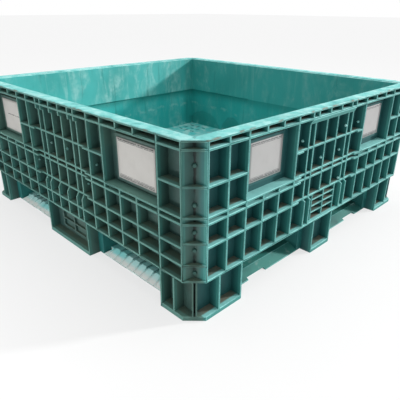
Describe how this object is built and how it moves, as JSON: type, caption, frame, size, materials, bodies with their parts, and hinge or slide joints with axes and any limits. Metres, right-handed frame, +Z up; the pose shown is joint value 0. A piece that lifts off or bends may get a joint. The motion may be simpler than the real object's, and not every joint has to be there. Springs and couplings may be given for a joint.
{
  "type": "bulk pallet box",
  "caption": "Low open-top bulk container in moulded plastic with deep egg-crate ribbed walls, chamfered corners, fork entry feet, bottom runners and recessed label cards.",
  "frame": {"origin": "centre of the footprint at the plane the feet stand on", "axes": "+Z up, +X along the longer side, -Y is the long wall on the left of the picture, +X is the short wall on its right"},
  "size_m": [1.219, 1.16, 0.476],
  "materials": {
    "tub": "matte, worn and dusty",
    "runner": "matte, scuffed",
    "label": "matte card"
  },
  "bodies": {
    "root": {"tub": "tub", "runner_front_a": "runner", "runner_front_b": "runner", "runner_back_a": "runner", "runner_back_b": "runner", "runner_right_a": "runner", "runner_right_b": "runner", "runner_left_a": "runner", "runner_left_b": "runner", "label_front_a": "label", "label_front_b": "label", "label_back_a": "label", "label_back_b": "label", "label_right_a": "label", "label_right_b": "label", "label_left_a": "label", "label_left_b": "label"}
  },
  "joints": []
}
